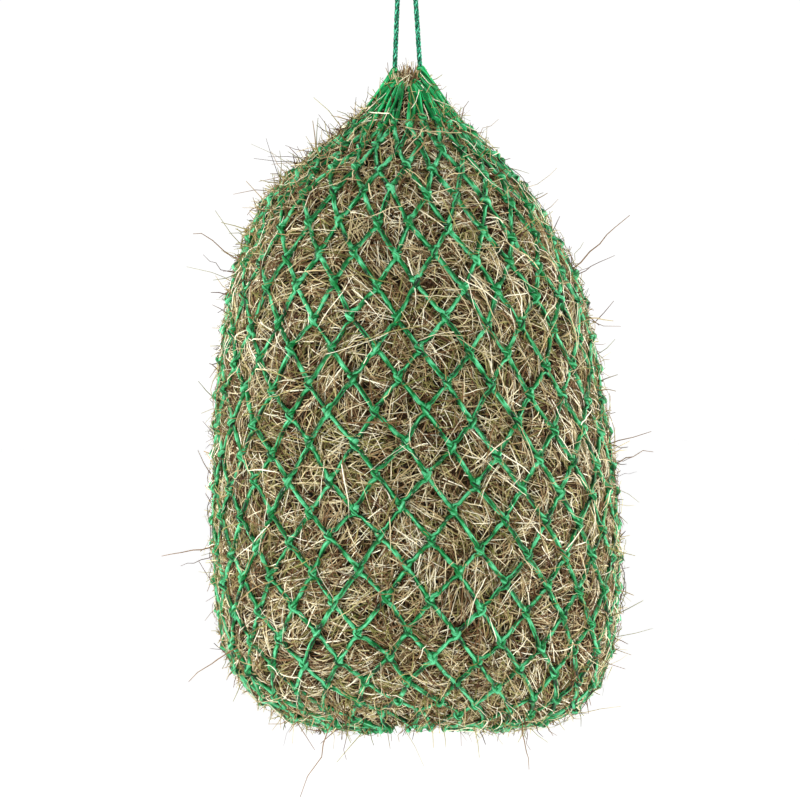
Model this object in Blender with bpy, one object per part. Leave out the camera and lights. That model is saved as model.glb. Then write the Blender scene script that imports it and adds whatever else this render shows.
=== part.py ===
"""Hay net: a knotted diamond-mesh bag filled with hay, gathered on a drawcord and hung from a ring.

Row frame: metres, +Z up, origin at the inner top of the hanging ring, where a hook would bear.
The bag is nearly round, a little wider (X) than it is deep (Y); its front faces -Y.
"""
import math

import bmesh
import bpy
import numpy as np
from mathutils import Matrix

# ---- hanging ring --------------------------------------------------------------------------
RING_MEAN_R = 0.022
RING_WIRE_R = 0.003
RING_Z = -(RING_MEAN_R - RING_WIRE_R)
RING_STEPS, RING_SIDES = 40, 12
WIRE_Z = RING_Z - RING_MEAN_R

# ---- drawcord ------------------------------------------------------------------------------
CORD_R = 0.0025
CORD_GAP = 0.0006
KNOT_R = 0.0100
KNOT_Z = -0.0710
LOOP_R = RING_WIRE_R + CORD_GAP + CORD_R
LEG_TOP_X = 0.0042
LEG_FOOT_X = 0.0145
LEG_FOOT_Z = -0.2800
NECK_CORD_R = 0.0120
NECK_CORD_HALF = 0.0023
NECK_Z = -0.2870
TAIL_POINTS = (
    ((-0.0092, -0.0046), (-0.0168, -0.0072), (-0.0208, -0.0082), (-0.0222, -0.0085), (-0.0216, -0.0088)),
    ((0.0092, 0.0046), (0.0172, 0.0068), (0.0224, 0.0072), (0.0246, 0.0070), (0.0238, 0.0073)),
)
TAIL_Z = ((-0.0730, -0.0768, -0.0890, -0.1080, -0.1340), (-0.0730, -0.0762, -0.0880, -0.1050, -0.1260))

# ---- bag ----------------------------------------------------------------------------------
# level, half width, half depth and sideways lean of the filled bag, from the neck down to the base
PROFILE = (
    (-0.2865, 0.0165, 0.0165, 0.0000),
    (-0.3020, 0.0240, 0.0240, 0.0005),
    (-0.3220, 0.0385, 0.0385, 0.0005),
    (-0.3440, 0.0600, 0.0600, -0.0015),
    (-0.3750, 0.0935, 0.0950, -0.0050),
    (-0.4060, 0.1270, 0.1290, -0.0095),
    (-0.4360, 0.1530, 0.1570, -0.0115),
    (-0.4805, 0.1760, 0.1800, -0.0100),
    (-0.5290, 0.1965, 0.2000, -0.0065),
    (-0.5770, 0.2070, 0.2100, -0.0045),
    (-0.6250, 0.2150, 0.2160, -0.0035),
    (-0.6740, 0.2205, 0.2190, -0.0025),
    (-0.7200, 0.2255, 0.2200, 0.0000),
    (-0.7770, 0.2290, 0.2200, 0.0015),
    (-0.8350, 0.2300, 0.2185, 0.0030),
    (-0.8920, 0.2280, 0.2080, 0.0035),
    (-0.9500, 0.2185, 0.1720, 0.0045),
    (-0.9900, 0.1990, 0.1270, 0.0085),
    (-1.0090, 0.1800, 0.0970, 0.0125),
    (-1.0250, 0.1540, 0.0760, 0.0150),
    (-1.0345, 0.1180, 0.0680, 0.0120),
    (-1.0360, 0.0800, 0.0560, 0.0070),
    (-1.0325, 0.0450, 0.0390, 0.0030),
    (-1.0290, 0.0170, 0.0170, 0.0000),
)
MESHES_AROUND = 27
BAR = 0.0435
FIRST_LOOP = 0.088
LAST_LOOP = 0.046
FIRST_PHASE = math.radians(3.7)

# ---- netting twine ------------------------------------------------------------------------
TWINE_R = 0.0021
TWINE_FLAT = 0.0019
KNOT_LUMP = 0.0031
MAX_MITRE = 0.0068
MITRE_LIMIT = 1.5
FAR_REACH = 1.4
ROW_GAP = 0.0006
GATHERED_HALF = 0.0006
GATHERED_FLAT = 0.0016
BASE_CORD_R = 0.0139
BASE_CORD_HALF = 0.0022

# ---- hay ----------------------------------------------------------------------------------
HAY_INSET = 0.0055
FLAKE_AROUND = 36
FLAKE_RINGS = 5
FLAKE_GAP = 0.0012
BASE_DIMPLE = 0.0100
FLAKE_CUTS = (0.045, 0.250, 0.385, 0.505, 0.620, 0.735, 0.860, 0.952)
TUFT_RINGS = ((-0.3020, 0.0085), (-0.2935, 0.0080), (-0.2870, 0.0082), (-0.2790, 0.0100), (-0.2700, 0.0112))
TUFT_TOPS = (0.0045, 0.0, 0.0060, 0.0015, 0.0075, 0.0005, 0.0050, 0.0020, 0.0065, 0.0)
STALK_R = 0.0011
# line of knots counted from the neck and azimuth of the hole each long stalk sticks out of, then
# its outward, sideways and downward reach
STALKS = (
    ("stalk_left_upper", 5, -80.0, 0.056, 0.012, -0.018),
    ("stalk_left_lower", 14, -84.0, 0.050, 0.010, 0.012),
    ("stalk_left_base", 17, -66.7, 0.048, 0.016, 0.020),
    ("stalk_right_upper", 5, 78.5, 0.052, -0.010, -0.030),
    ("stalk_right_middle", 11, 84.0, 0.040, 0.012, -0.020),
    ("stalk_front", 10, 10.4, 0.042, 0.016, 0.016),
    ("stalk_back", 12, 170.4, 0.046, -0.014, 0.018),
    ("stalk_base_left", 20, -30.0, 0.066, 0.008, 0.020),
    ("stalk_base_right", 20, 36.7, 0.040, -0.008, 0.012),
)
NET_GREEN = (0.012, 0.270, 0.085, 1.0)
CORD_GREEN = (0.014, 0.300, 0.110, 1.0)
HAY_STRAW = (0.330, 0.240, 0.110, 1.0)
HAY_PALE = (0.560, 0.450, 0.240, 1.0)
STEEL = (0.560, 0.570, 0.580, 1.0)


# ---- helpers ------------------------------------------------------------------------------
def clear_scene():
    for ob in list(bpy.data.objects):
        bpy.data.objects.remove(ob, do_unlink=True)


def material(name, colour, roughness, metallic=0.0):
    mat = bpy.data.materials.new(name)
    mat.use_nodes = True
    shader = mat.node_tree.nodes["Principled BSDF"]
    shader.inputs["Base Color"].default_value = colour
    shader.inputs["Roughness"].default_value = roughness
    shader.inputs["Metallic"].default_value = metallic
    return mat


def solid(name, points, faces, mat, smooth=True):
    """A closed mesh object with its faces turned outwards."""
    mesh = bpy.data.meshes.new(name)
    mesh.from_pydata([tuple(p) for p in points], [], faces)
    bm = bmesh.new()
    bm.from_mesh(mesh)
    bmesh.ops.triangulate(bm, faces=bm.faces[:])
    bmesh.ops.recalc_face_normals(bm, faces=bm.faces[:])
    bm.to_mesh(mesh)
    bm.free()
    mesh.materials.append(mat)
    for poly in mesh.polygons:
        poly.use_smooth = smooth
    ob = bpy.data.objects.new(name, mesh)
    bpy.context.collection.objects.link(ob)
    return ob


def ring_faces(rings, sides, closed):
    """Quads between successive rings of vertices, with end caps unless the rings close on themselves."""
    faces = []
    for i in range(rings if closed else rings - 1):
        a, b = i * sides, ((i + 1) % rings) * sides
        for j in range(sides):
            k = (j + 1) % sides
            faces.append((a + j, a + k, b + k, b + j))
    if not closed:
        faces.append(tuple(range(sides)))
        faces.append(tuple((rings - 1) * sides + j for j in range(sides)))
    return faces


def ring_solid(name, radius, half, z, steps, sides, mat, upright=False):
    """A round wire bent into a circle, lying flat or standing in the XZ plane."""
    points = []
    for i in range(steps):
        turn = 2 * math.pi * i / steps
        for j in range(sides):
            around = 2 * math.pi * j / sides
            reach, lift = radius + half * math.cos(around), half * math.sin(around)
            x, y = reach * math.cos(turn), reach * math.sin(turn)
            points.append((x, lift, z + y) if upright else (x, y, z + lift))
    return solid(name, points, ring_faces(steps, sides, True), mat)


def smooth_route(points, count):
    """Evenly spaced points on a Catmull-Rom curve through the route."""
    p = np.array([points[0]] + list(points) + [points[-1]], float)
    dense = []
    for i in range(1, len(p) - 2):
        for t in np.linspace(0, 1, 16, endpoint=False):
            dense.append(
                0.5 * (2 * p[i] + (p[i + 1] - p[i - 1]) * t
                       + (2 * p[i - 1] - 5 * p[i] + 4 * p[i + 1] - p[i + 2]) * t * t
                       + (3 * p[i] - p[i - 1] - 3 * p[i + 1] + p[i + 2]) * t ** 3)
            )
    dense = np.array(dense + [p[-2]])
    run = np.concatenate(([0], np.cumsum(np.linalg.norm(np.diff(dense, axis=0), axis=1))))
    at = np.linspace(0, run[-1], count)
    return np.column_stack([np.interp(at, run, dense[:, k]) for k in range(3)])


def cord(name, route, radius, mat, bevel=2):
    """A round cord along a route, closed by flat ends."""
    curve = bpy.data.curves.new(name, "CURVE")
    curve.dimensions = "3D"
    curve.bevel_depth = radius
    curve.bevel_resolution = bevel
    curve.use_fill_caps = True
    line = curve.splines.new("POLY")
    line.points.add(len(route) - 1)
    for point, at in zip(line.points, route):
        point.co = (*at, 1.0)
    curve.materials.append(mat)
    ob = bpy.data.objects.new(name, curve)
    bpy.context.collection.objects.link(ob)
    return ob


# ---- the filled bag's surface ---------------------------------------------------------------
def dense_profile(steps_each=10):
    p = np.array((PROFILE[0],) + PROFILE + (PROFILE[-1],), float)
    out = []
    for i in range(1, len(p) - 2):
        for t in np.linspace(0, 1, steps_each, endpoint=False):
            out.append(
                0.5 * (2 * p[i] + (p[i + 1] - p[i - 1]) * t
                       + (2 * p[i - 1] - 5 * p[i] + 4 * p[i + 1] - p[i + 2]) * t * t
                       + (3 * p[i] - p[i - 1] - 3 * p[i + 1] + p[i + 2]) * t ** 3)
            )
    return np.array(out + [p[-2]])


class Bag:
    """The netting's middle surface, read by azimuth from the front and share of the way down."""

    def __init__(self):
        self.profile = dense_profile()

    def meridian(self, azimuth):
        z, half, depth, lean = self.profile.T
        line = np.column_stack((lean + half * math.sin(azimuth), -depth * math.cos(azimuth), z))
        run = np.concatenate(([0], np.cumsum(np.linalg.norm(np.diff(line, axis=0), axis=1))))
        return line, run

    def point(self, azimuth, share, shift=0.0):
        """Place and the down and outward directions there; shift moves along the meridian."""
        line, run = self.meridian(azimuth)
        at = min(max(share * run[-1] + shift, 0.0), run[-1])
        place = np.array([np.interp(at, run, line[:, k]) for k in range(3)])
        ahead, behind = min(at + 0.002, run[-1]), max(at - 0.002, 0.0)
        down = np.array([np.interp(ahead, run, line[:, k]) - np.interp(behind, run, line[:, k])
                         for k in range(3)])
        down /= np.linalg.norm(down)
        nearest = int(np.argmin(abs(run - at)))
        side = np.array([self.profile[nearest, 1] * math.cos(azimuth),
                         self.profile[nearest, 2] * math.sin(azimuth), 0.0])
        out = np.cross(down, side)
        return place, down, out / np.linalg.norm(out)

    def width_at(self, share):
        """One mesh's width at this share of the way down, averaged around the bag."""
        line, run = self.meridian(math.pi / 4)
        half = np.interp(share * run[-1], run, self.profile[:, 1])
        depth = np.interp(share * run[-1], run, self.profile[:, 2])
        return 2 * math.pi * math.sqrt((half ** 2 + depth ** 2) / 2) / MESHES_AROUND


def row_levels(bag):
    """Share of the way down of each line of knots, spaced by a bar of constant length."""
    total = bag.meridian(math.pi / 4)[1][-1]
    levels = [FIRST_LOOP / total]
    end = 1 - LAST_LOOP / total
    while levels[-1] < end:
        half_mesh = bag.width_at(min(levels[-1] + 0.5 * BAR / total, 1)) / 2
        levels.append(levels[-1] + math.sqrt(max(BAR ** 2 - half_mesh ** 2, 0)) / total)
    if levels[-1] - end > (levels[-1] - levels[-2]) / 2:
        levels.pop()
    stretch = (end - levels[0]) / (levels[-1] - levels[0])
    return [levels[0] + (level - levels[0]) * stretch for level in levels], total


# ---- netting ------------------------------------------------------------------------------
def net_row(name, bag, top, bottom, total, shifted, mat):
    """One course of half meshes: a closed zigzag of twine between two lines of knots."""
    half_width = (bag.width_at(top) + bag.width_at(bottom)) / 4
    slope = half_width / math.hypot(half_width, (bottom - top) * total)
    mitre = min(TWINE_R / slope, MAX_MITRE)
    points = []
    for j in range(2 * MESHES_AROUND):
        low = (j + shifted) % 2 == 1
        azimuth = FIRST_PHASE + math.pi * j / MESHES_AROUND
        inset = mitre + ROW_GAP / 2
        place, down, out = bag.point(azimuth, bottom if low else top, -inset if low else inset)
        thick = KNOT_LUMP if low else TWINE_FLAT
        points += [place + mitre * down + thick * out, place + mitre * down - thick * out,
                   place - mitre * down - thick * out, place - mitre * down + thick * out]
    return solid(name, points, ring_faces(2 * MESHES_AROUND, 4, True), mat)


def mitred_strand(name, centres, outs, halves, thicks, mat):
    """A closed flat strand along the centres, its corners mitred square to the strand itself."""
    count = len(centres)
    points = []
    for i in range(count):
        sides = []
        for run in (centres[i] - centres[i - 1], centres[(i + 1) % count] - centres[i]):
            side = np.cross(run, outs[i])
            sides.append(side / np.linalg.norm(side))
        mitre = sides[0] + sides[1]
        mitre /= np.linalg.norm(mitre)
        mitre *= min(halves[i] / max(mitre @ sides[0], 0.1), MITRE_LIMIT * halves[i])
        lift = thicks[i] * outs[i]
        points += [centres[i] + mitre + lift, centres[i] + mitre - lift,
                   centres[i] - mitre - lift, centres[i] - mitre + lift]
    return solid(name, points, ring_faces(count, 4, True), mat)


def gathered_row(name, bag, tight, wide, total, shifted, mat):
    """The loops drawn together on the neck cord or on the base cord: square-ended waves of
    twine, squeezed narrow where they are gathered and full width at their far knots."""
    centres, outs, halves, thicks = [], [], [], []
    towards = 1 if wide > tight else -1
    for j in range(2 * MESHES_AROUND):
        far = (j + shifted) % 2 == 1
        azimuth = FIRST_PHASE + math.pi * j / MESHES_AROUND
        share = wide if far else tight
        half = TWINE_R if far else GATHERED_HALF
        thick = TWINE_FLAT if far else GATHERED_FLAT
        reach = half * FAR_REACH + ROW_GAP / 2 if far else half + 0.0004
        shift = -towards * reach if far else towards * reach
        middle, down, out = bag.point(azimuth, share, shift)
        across = np.cross(out, down)
        for side in (-1, 1):
            centres.append(middle + side * half * 1.35 * across)
            outs.append(out)
            halves.append(half)
            thicks.append(thick)
    return mitred_strand(name, centres, outs, halves, thicks, mat)


def netting(bag, mat):
    levels, total = row_levels(bag)
    gathered_row("neck_loops", bag, 0.0, levels[0], total, 1, mat)
    for k in range(len(levels) - 1):
        net_row(f"mesh_row_{k + 1:02d}", bag, levels[k], levels[k + 1], total, k % 2, mat)
    shifted = (len(levels) - 1) % 2
    gathered_row("base_loops", bag, 1.0, levels[-1], total, shifted + 1, mat)
    base = bag.profile[-1]
    ring_solid("base_cord", BASE_CORD_R, BASE_CORD_HALF, base[0] + 0.0006, 28, 8, mat)
    return levels


# ---- hay ----------------------------------------------------------------------------------
def flake_ring(bag, share, drop):
    ring = []
    for j in range(FLAKE_AROUND):
        azimuth = 2 * math.pi * j / FLAKE_AROUND
        place, _, out = bag.point(azimuth, share)
        ring.append(place - out * HAY_INSET + np.array((0, 0, drop)))
    return ring


def hay_flake(name, bag, top, bottom, mat, dimple=0.0):
    """One slice of the hay that fills the net: a closed block with a face above and below.

    dimple is how far the middle of its lower face is pressed in."""
    rings = []
    for i in range(FLAKE_RINGS):
        share = top + (bottom - top) * i / (FLAKE_RINGS - 1)
        drop = -FLAKE_GAP / 2 if i == 0 else FLAKE_GAP / 2 if i == FLAKE_RINGS - 1 else 0.0
        rings.append(flake_ring(bag, share, drop))
    points = [p for ring in rings for p in ring]
    faces = ring_faces(FLAKE_RINGS, FLAKE_AROUND, False)[:-2]
    for i, reverse in ((0, True), (FLAKE_RINGS - 1, False)):
        middle = np.mean(rings[i], axis=0) + np.array((0, 0, dimple if i else 0.0))
        centre = len(points)
        points.append(middle)
        for j in range(FLAKE_AROUND):
            faces.append((i * FLAKE_AROUND + j, i * FLAKE_AROUND + (j + 1) % FLAKE_AROUND, centre))
    return solid(name, points, faces, mat)


def hay_tuft(mat):
    """The stalk ends that stand up through the gathered neck, between the cord's two legs."""
    sides = len(TUFT_TOPS)
    points = []
    for z, radius in TUFT_RINGS:
        for j in range(sides):
            turn = 2 * math.pi * j / sides
            top = TUFT_TOPS[j] if z == TUFT_RINGS[-1][0] else 0.0
            points.append((radius * math.cos(turn), 0.8 * radius * math.sin(turn), z + top))
    return solid("hay_tuft", points, ring_faces(len(TUFT_RINGS), sides, False), mat, smooth=False)


def hole_azimuth(line, wanted):
    """Azimuth of the mesh hole nearest to the one wanted, on a line of knots."""
    step = math.pi / MESHES_AROUND
    number = round((wanted - FIRST_PHASE) / step / 2 - line % 2 / 2) * 2 + line % 2
    return FIRST_PHASE + (number + 1) * step


def stray_stalks(bag, levels, mat):
    """Long stalks that stick out through the holes of the net."""
    for name, line, azimuth, outward, sideways, downward in STALKS:
        place, _, out = bag.point(hole_azimuth(line, math.radians(azimuth)), levels[line])
        across = np.cross(out, (0, 0, 1))
        foot = place - out * 0.002
        reach = outward * out + sideways * across - np.array((0, 0, downward))
        middle = foot + 0.5 * reach + out * 0.006
        cord(name, smooth_route((foot, middle, foot + reach), 9), STALK_R, mat, bevel=1)


# ---- what the bag hangs by ------------------------------------------------------------------
def cord_loop(mat):
    """The cord's bight, over the ring's wire and down to the knot, front and back."""
    arc = [(0.0, LOOP_R * math.cos(a), WIRE_Z + LOOP_R * math.sin(a))
           for a in np.linspace(0, math.pi, 11)]
    foot_y, foot_z = 0.0048, KNOT_Z + KNOT_R + 0.0005
    sides = [(0.0, foot_y, foot_z), (0.0, (foot_y + LOOP_R) / 2 + 0.0003, (foot_z + WIRE_Z) / 2)]
    route = sides + arc + [(0.0, -y, z) for _, y, z in reversed(sides)]
    cord("cord_loop", smooth_route(route, 26), CORD_R, mat)


def cord_knot(mat):
    knot = bmesh.new()
    bmesh.ops.create_uvsphere(knot, u_segments=18, v_segments=12, radius=KNOT_R)
    bmesh.ops.triangulate(knot, faces=knot.faces[:])
    mesh = bpy.data.meshes.new("cord_knot")
    knot.to_mesh(mesh)
    knot.free()
    mesh.materials.append(mat)
    for poly in mesh.polygons:
        poly.use_smooth = True
    ob = bpy.data.objects.new("cord_knot", mesh)
    ob.location = (0, 0, KNOT_Z)
    bpy.context.collection.objects.link(ob)


def cord_legs_and_tails(mat):
    top_z = KNOT_Z - KNOT_R - 0.0006
    for name, side in (("drawcord_leg_left", -1), ("drawcord_leg_right", 1)):
        route = ((side * LEG_TOP_X, 0, top_z), (side * (LEG_TOP_X + LEG_FOOT_X) / 2, 0, (top_z + LEG_FOOT_Z) / 2),
                 (side * LEG_FOOT_X, 0, LEG_FOOT_Z))
        cord(name, smooth_route(route, 22), CORD_R, mat)
    for name, flat, heights in zip(("cord_tail_left", "cord_tail_right"), TAIL_POINTS, TAIL_Z):
        route = [(x, y, z) for (x, y), z in zip(flat, heights)]
        cord(name, smooth_route(route, 12), CORD_R * 0.92, mat)


def hang_on(name, at, children):
    """An empty on a pivot, carrying the pieces that swing or turn about it."""
    pivot = bpy.data.objects.new(name, None)
    pivot.location = at
    bpy.context.collection.objects.link(pivot)
    for ob in children:
        ob.parent = pivot
        ob.matrix_parent_inverse = Matrix.Translation(at).inverted()


def build():
    clear_scene()
    steel = material("ring_steel", STEEL, 0.32, 1.0)
    cord_mat = material("drawcord_green", CORD_GREEN, 0.48)
    net_mat = material("netting_green", NET_GREEN, 0.50)
    hay_mat = material("hay", HAY_STRAW, 0.90)
    stalk_mat = material("hay_stalk", HAY_PALE, 0.72)

    ring_solid("hanging_ring", RING_MEAN_R, RING_WIRE_R, RING_Z, RING_STEPS, RING_SIDES, steel, upright=True)
    cord_loop(cord_mat)
    cord_knot(cord_mat)
    cord_legs_and_tails(cord_mat)
    ring_solid("neck_drawcord", NECK_CORD_R, NECK_CORD_HALF, NECK_Z, 32, 8, cord_mat)

    bag = Bag()
    levels = netting(bag, net_mat)
    for i in range(len(FLAKE_CUTS) - 1):
        lowest = i == len(FLAKE_CUTS) - 2
        hay_flake(f"hay_flake_{i + 1}", bag, FLAKE_CUTS[i], FLAKE_CUTS[i + 1], hay_mat, BASE_DIMPLE if lowest else 0.0)
    hay_tuft(stalk_mat)
    stray_stalks(bag, levels, stalk_mat)

    pieces = {ob.name: ob for ob in bpy.data.objects}
    del pieces["hanging_ring"]
    hang_on("pivot_on_ring_wire", (0, 0, WIRE_Z), [pieces.pop("cord_loop")])
    hang_on("pivot_in_knot", (0, 0, KNOT_Z), pieces.values())


build()
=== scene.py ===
"""Hay net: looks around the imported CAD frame."""
from math import atan2, cos, pi, radians, sin, sqrt

import bpy
import numpy as np
from mathutils import Matrix, Vector
from numpy.linalg import norm


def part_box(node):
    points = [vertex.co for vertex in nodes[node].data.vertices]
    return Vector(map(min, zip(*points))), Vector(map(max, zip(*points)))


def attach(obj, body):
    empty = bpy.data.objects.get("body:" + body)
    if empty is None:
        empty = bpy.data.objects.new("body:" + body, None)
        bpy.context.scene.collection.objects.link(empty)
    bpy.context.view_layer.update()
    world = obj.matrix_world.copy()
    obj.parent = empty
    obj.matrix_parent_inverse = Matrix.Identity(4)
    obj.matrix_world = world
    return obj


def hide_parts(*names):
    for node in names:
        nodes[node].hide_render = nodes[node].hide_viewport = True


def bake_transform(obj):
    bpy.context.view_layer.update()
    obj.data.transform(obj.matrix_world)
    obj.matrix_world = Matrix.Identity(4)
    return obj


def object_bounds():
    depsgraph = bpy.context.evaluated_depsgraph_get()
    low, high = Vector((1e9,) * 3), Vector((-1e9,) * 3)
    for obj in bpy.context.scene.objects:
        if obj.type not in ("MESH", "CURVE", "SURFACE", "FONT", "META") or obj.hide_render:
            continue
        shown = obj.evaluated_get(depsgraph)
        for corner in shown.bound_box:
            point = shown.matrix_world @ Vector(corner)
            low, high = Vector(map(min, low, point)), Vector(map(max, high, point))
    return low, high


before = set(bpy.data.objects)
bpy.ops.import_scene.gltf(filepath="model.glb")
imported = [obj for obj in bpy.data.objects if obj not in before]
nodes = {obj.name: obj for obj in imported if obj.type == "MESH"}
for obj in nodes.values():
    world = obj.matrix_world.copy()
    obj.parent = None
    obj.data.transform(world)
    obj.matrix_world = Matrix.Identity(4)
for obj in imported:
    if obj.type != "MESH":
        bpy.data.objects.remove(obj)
cad_low, cad_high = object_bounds()

# ---- camera: level with the bag, a little above its middle
CAM_DISTANCE = 3.2
VIEW_WIDTH = 0.920
CAM_X, CAM_Z = -0.0136, -0.6620
CAM_ELEVATION = radians(0.3)
CAM_ROLL = radians(-0.76)


def put(name, data, place, turn):
    """A camera or a light, placed and turned."""
    ob = bpy.data.objects.new(name, data)
    bpy.context.collection.objects.link(ob)
    ob.location = place
    ob.rotation_mode = "QUATERNION"
    ob.rotation_quaternion = turn
    return ob


def make_camera():
    data = bpy.data.cameras.new("camera")
    data.sensor_width = 36.0
    data.lens = 36.0 * CAM_DISTANCE / VIEW_WIDTH
    data.clip_start, data.clip_end = 0.1, 60.0
    back = Vector((0, -cos(CAM_ELEVATION), sin(CAM_ELEVATION)))
    turn = (-back).to_track_quat("-Z", "Y").to_matrix().to_4x4() @ Matrix.Rotation(CAM_ROLL, 4, "Z")
    place = Vector((CAM_X, 0, CAM_Z)) + back * CAM_DISTANCE
    bpy.context.scene.camera = put("camera", data, place, turn.to_quaternion())


make_camera()

# ---- dimensions shared with the CAD part, in metres
RING_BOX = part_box("hanging_ring")
WIRE_R = 0.003
WIRE_Z = RING_BOX[0][2] + WIRE_R
CORD_R = 0.0025
CORD_GAP = 0.0006
LOOP_FOOT_Y = 0.0048
KNOT_LOW, KNOT_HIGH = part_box("cord_knot")
KNOT_Z = (KNOT_LOW[2] + KNOT_HIGH[2]) / 2
KNOT_R = (KNOT_HIGH[2] - KNOT_LOW[2]) / 2
LEG_TOP_X, LEG_FOOT_X = 0.0042, 0.0145
LEG_FOOT_Z = -0.2800
LEG_TOP_Z = KNOT_Z - KNOT_R - 0.0006
NECK_Z = -0.2870
TAIL_POINTS = (
    ((-0.0092, -0.0046), (-0.0168, -0.0072), (-0.0208, -0.0082), (-0.0222, -0.0085), (-0.0216, -0.0088)),
    ((0.0092, 0.0046), (0.0172, 0.0068), (0.0224, 0.0072), (0.0246, 0.0070), (0.0238, 0.0073)),
)
TAIL_Z = ((-0.0730, -0.0768, -0.0890, -0.1080, -0.1340), (-0.0730, -0.0762, -0.0880, -0.1050, -0.1260))
# level, half width, half depth and sideways lean of the filled bag
PROFILE = (
    (-0.2865, 0.0165, 0.0165, 0.0000),
    (-0.3020, 0.0240, 0.0240, 0.0005),
    (-0.3220, 0.0385, 0.0385, 0.0005),
    (-0.3440, 0.0600, 0.0600, -0.0015),
    (-0.3750, 0.0935, 0.0950, -0.0050),
    (-0.4060, 0.1270, 0.1290, -0.0095),
    (-0.4360, 0.1530, 0.1570, -0.0115),
    (-0.4805, 0.1760, 0.1800, -0.0100),
    (-0.5290, 0.1965, 0.2000, -0.0065),
    (-0.5770, 0.2070, 0.2100, -0.0045),
    (-0.6250, 0.2150, 0.2160, -0.0035),
    (-0.6740, 0.2205, 0.2190, -0.0025),
    (-0.7200, 0.2255, 0.2200, 0.0000),
    (-0.7770, 0.2290, 0.2200, 0.0015),
    (-0.8350, 0.2300, 0.2185, 0.0030),
    (-0.8920, 0.2280, 0.2080, 0.0035),
    (-0.9500, 0.2185, 0.1720, 0.0045),
    (-0.9900, 0.1990, 0.1270, 0.0085),
    (-1.0090, 0.1800, 0.0970, 0.0125),
    (-1.0250, 0.1540, 0.0760, 0.0150),
    (-1.0345, 0.1180, 0.0680, 0.0120),
    (-1.0360, 0.0800, 0.0560, 0.0070),
    (-1.0325, 0.0450, 0.0390, 0.0030),
    (-1.0290, 0.0170, 0.0170, 0.0000),
)
AROUND = 27
BAR = 0.0435
FIRST_LOOP, LAST_LOOP = 0.088, 0.046
PHASE = radians(3.7)
BASE_SADDLE = 0.0085
TURN = 2 * pi

# ---- small helpers


def rng_for(name):
    return np.random.default_rng(sum(ord(c) * 131 ** (i % 5) for i, c in enumerate(name)) % 2 ** 32)


def catmull(points, steps):
    """Catmull-Rom curve through the points, with this many steps for each span."""
    p = np.asarray(points, float)
    p = np.vstack([p[0], p, p[-1]])
    t = np.linspace(0, 1, steps, endpoint=False)[:, None]
    out = []
    for i in range(1, len(p) - 2):
        a, b, c, d = p[i - 1], p[i], p[i + 1], p[i + 2]
        out.append(0.5 * (2 * b + (c - a) * t + (2 * a - 5 * b + 4 * c - d) * t ** 2
                          + (3 * b - a - 3 * c + d) * t ** 3))
    out.append(p[-2][None])
    return np.vstack(out)


def unit(v):
    return v / np.maximum(norm(v, axis=-1, keepdims=True), 1e-9)


def run_along(line):
    """Distance from the start to each point of a line."""
    return np.concatenate(([0], np.cumsum(norm(np.diff(line, axis=0), axis=1))))


def eased(t):
    return t * t * (3 - 2 * t)


def resample(line, count):
    run = run_along(line)
    at = np.linspace(0, run[-1], count)
    return np.column_stack([np.interp(at, run, line[:, k]) for k in range(3)])


def length_of(line):
    return float(norm(np.diff(line, axis=0), axis=1).sum())


def new_mesh(name, points, faces, mat, uvs=None):
    """A smooth mesh object. faces is a list of arrays of triangles or quads; uvs holds one (u, v) for
    each corner in the same order."""
    groups = [np.asarray(g, np.int32) for g in faces if len(g)]
    mesh = bpy.data.meshes.new(name)
    points = np.asarray(points, np.float32)
    corners = np.concatenate([g.ravel() for g in groups])
    totals = np.concatenate([np.full(len(g), g.shape[1], np.int32) for g in groups])
    starts = np.concatenate(([0], np.cumsum(totals)[:-1])).astype(np.int32)
    mesh.vertices.add(len(points))
    mesh.vertices.foreach_set("co", points.ravel())
    mesh.loops.add(len(corners))
    mesh.loops.foreach_set("vertex_index", corners)
    mesh.polygons.add(len(totals))
    mesh.polygons.foreach_set("loop_start", starts)
    mesh.polygons.foreach_set("loop_total", totals)
    mesh.polygons.foreach_set("use_smooth", np.full(len(totals), True))
    if uvs is not None:
        layer = mesh.uv_layers.new(name="OFBake")
        layer.data.foreach_set("uv", np.asarray(uvs, np.float32).ravel())
    mesh.update(calc_edges=True)
    mesh.validate()
    mesh.materials.append(mat)
    ob = bpy.data.objects.new(name, mesh)
    bpy.context.collection.objects.link(ob)
    return ob


def folded(u):
    """Runs back and forth in 0..1, so that a pattern along a long strand never jumps."""
    return 0.002 + 0.996 * np.abs(((u + 1) % 2) - 1)


def frames_along(line, closed, up):
    """A pair of cross directions that don't spin, along a line."""
    if closed:
        tangent = np.roll(line, -1, 0) - np.roll(line, 1, 0)
    else:
        tangent = np.gradient(line, axis=0)
    tangent = unit(tangent)
    side = np.empty_like(line)
    v = np.asarray(up, float)
    for i, t in enumerate(tangent):
        v = v - t * (v @ t)
        v /= max(sqrt(v @ v), 1e-9)
        side[i] = v
    other = np.cross(tangent, side)
    if closed:
        last = side[-1] - tangent[0] * (side[-1] @ tangent[0])
        slip = atan2(last @ other[0], last @ side[0])
        turn = -slip * np.linspace(0, 1, len(line))[:, None]
        side, other = side * np.cos(turn) + other * np.sin(turn), other * np.cos(turn) - side * np.sin(turn)
    return side, other


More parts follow.
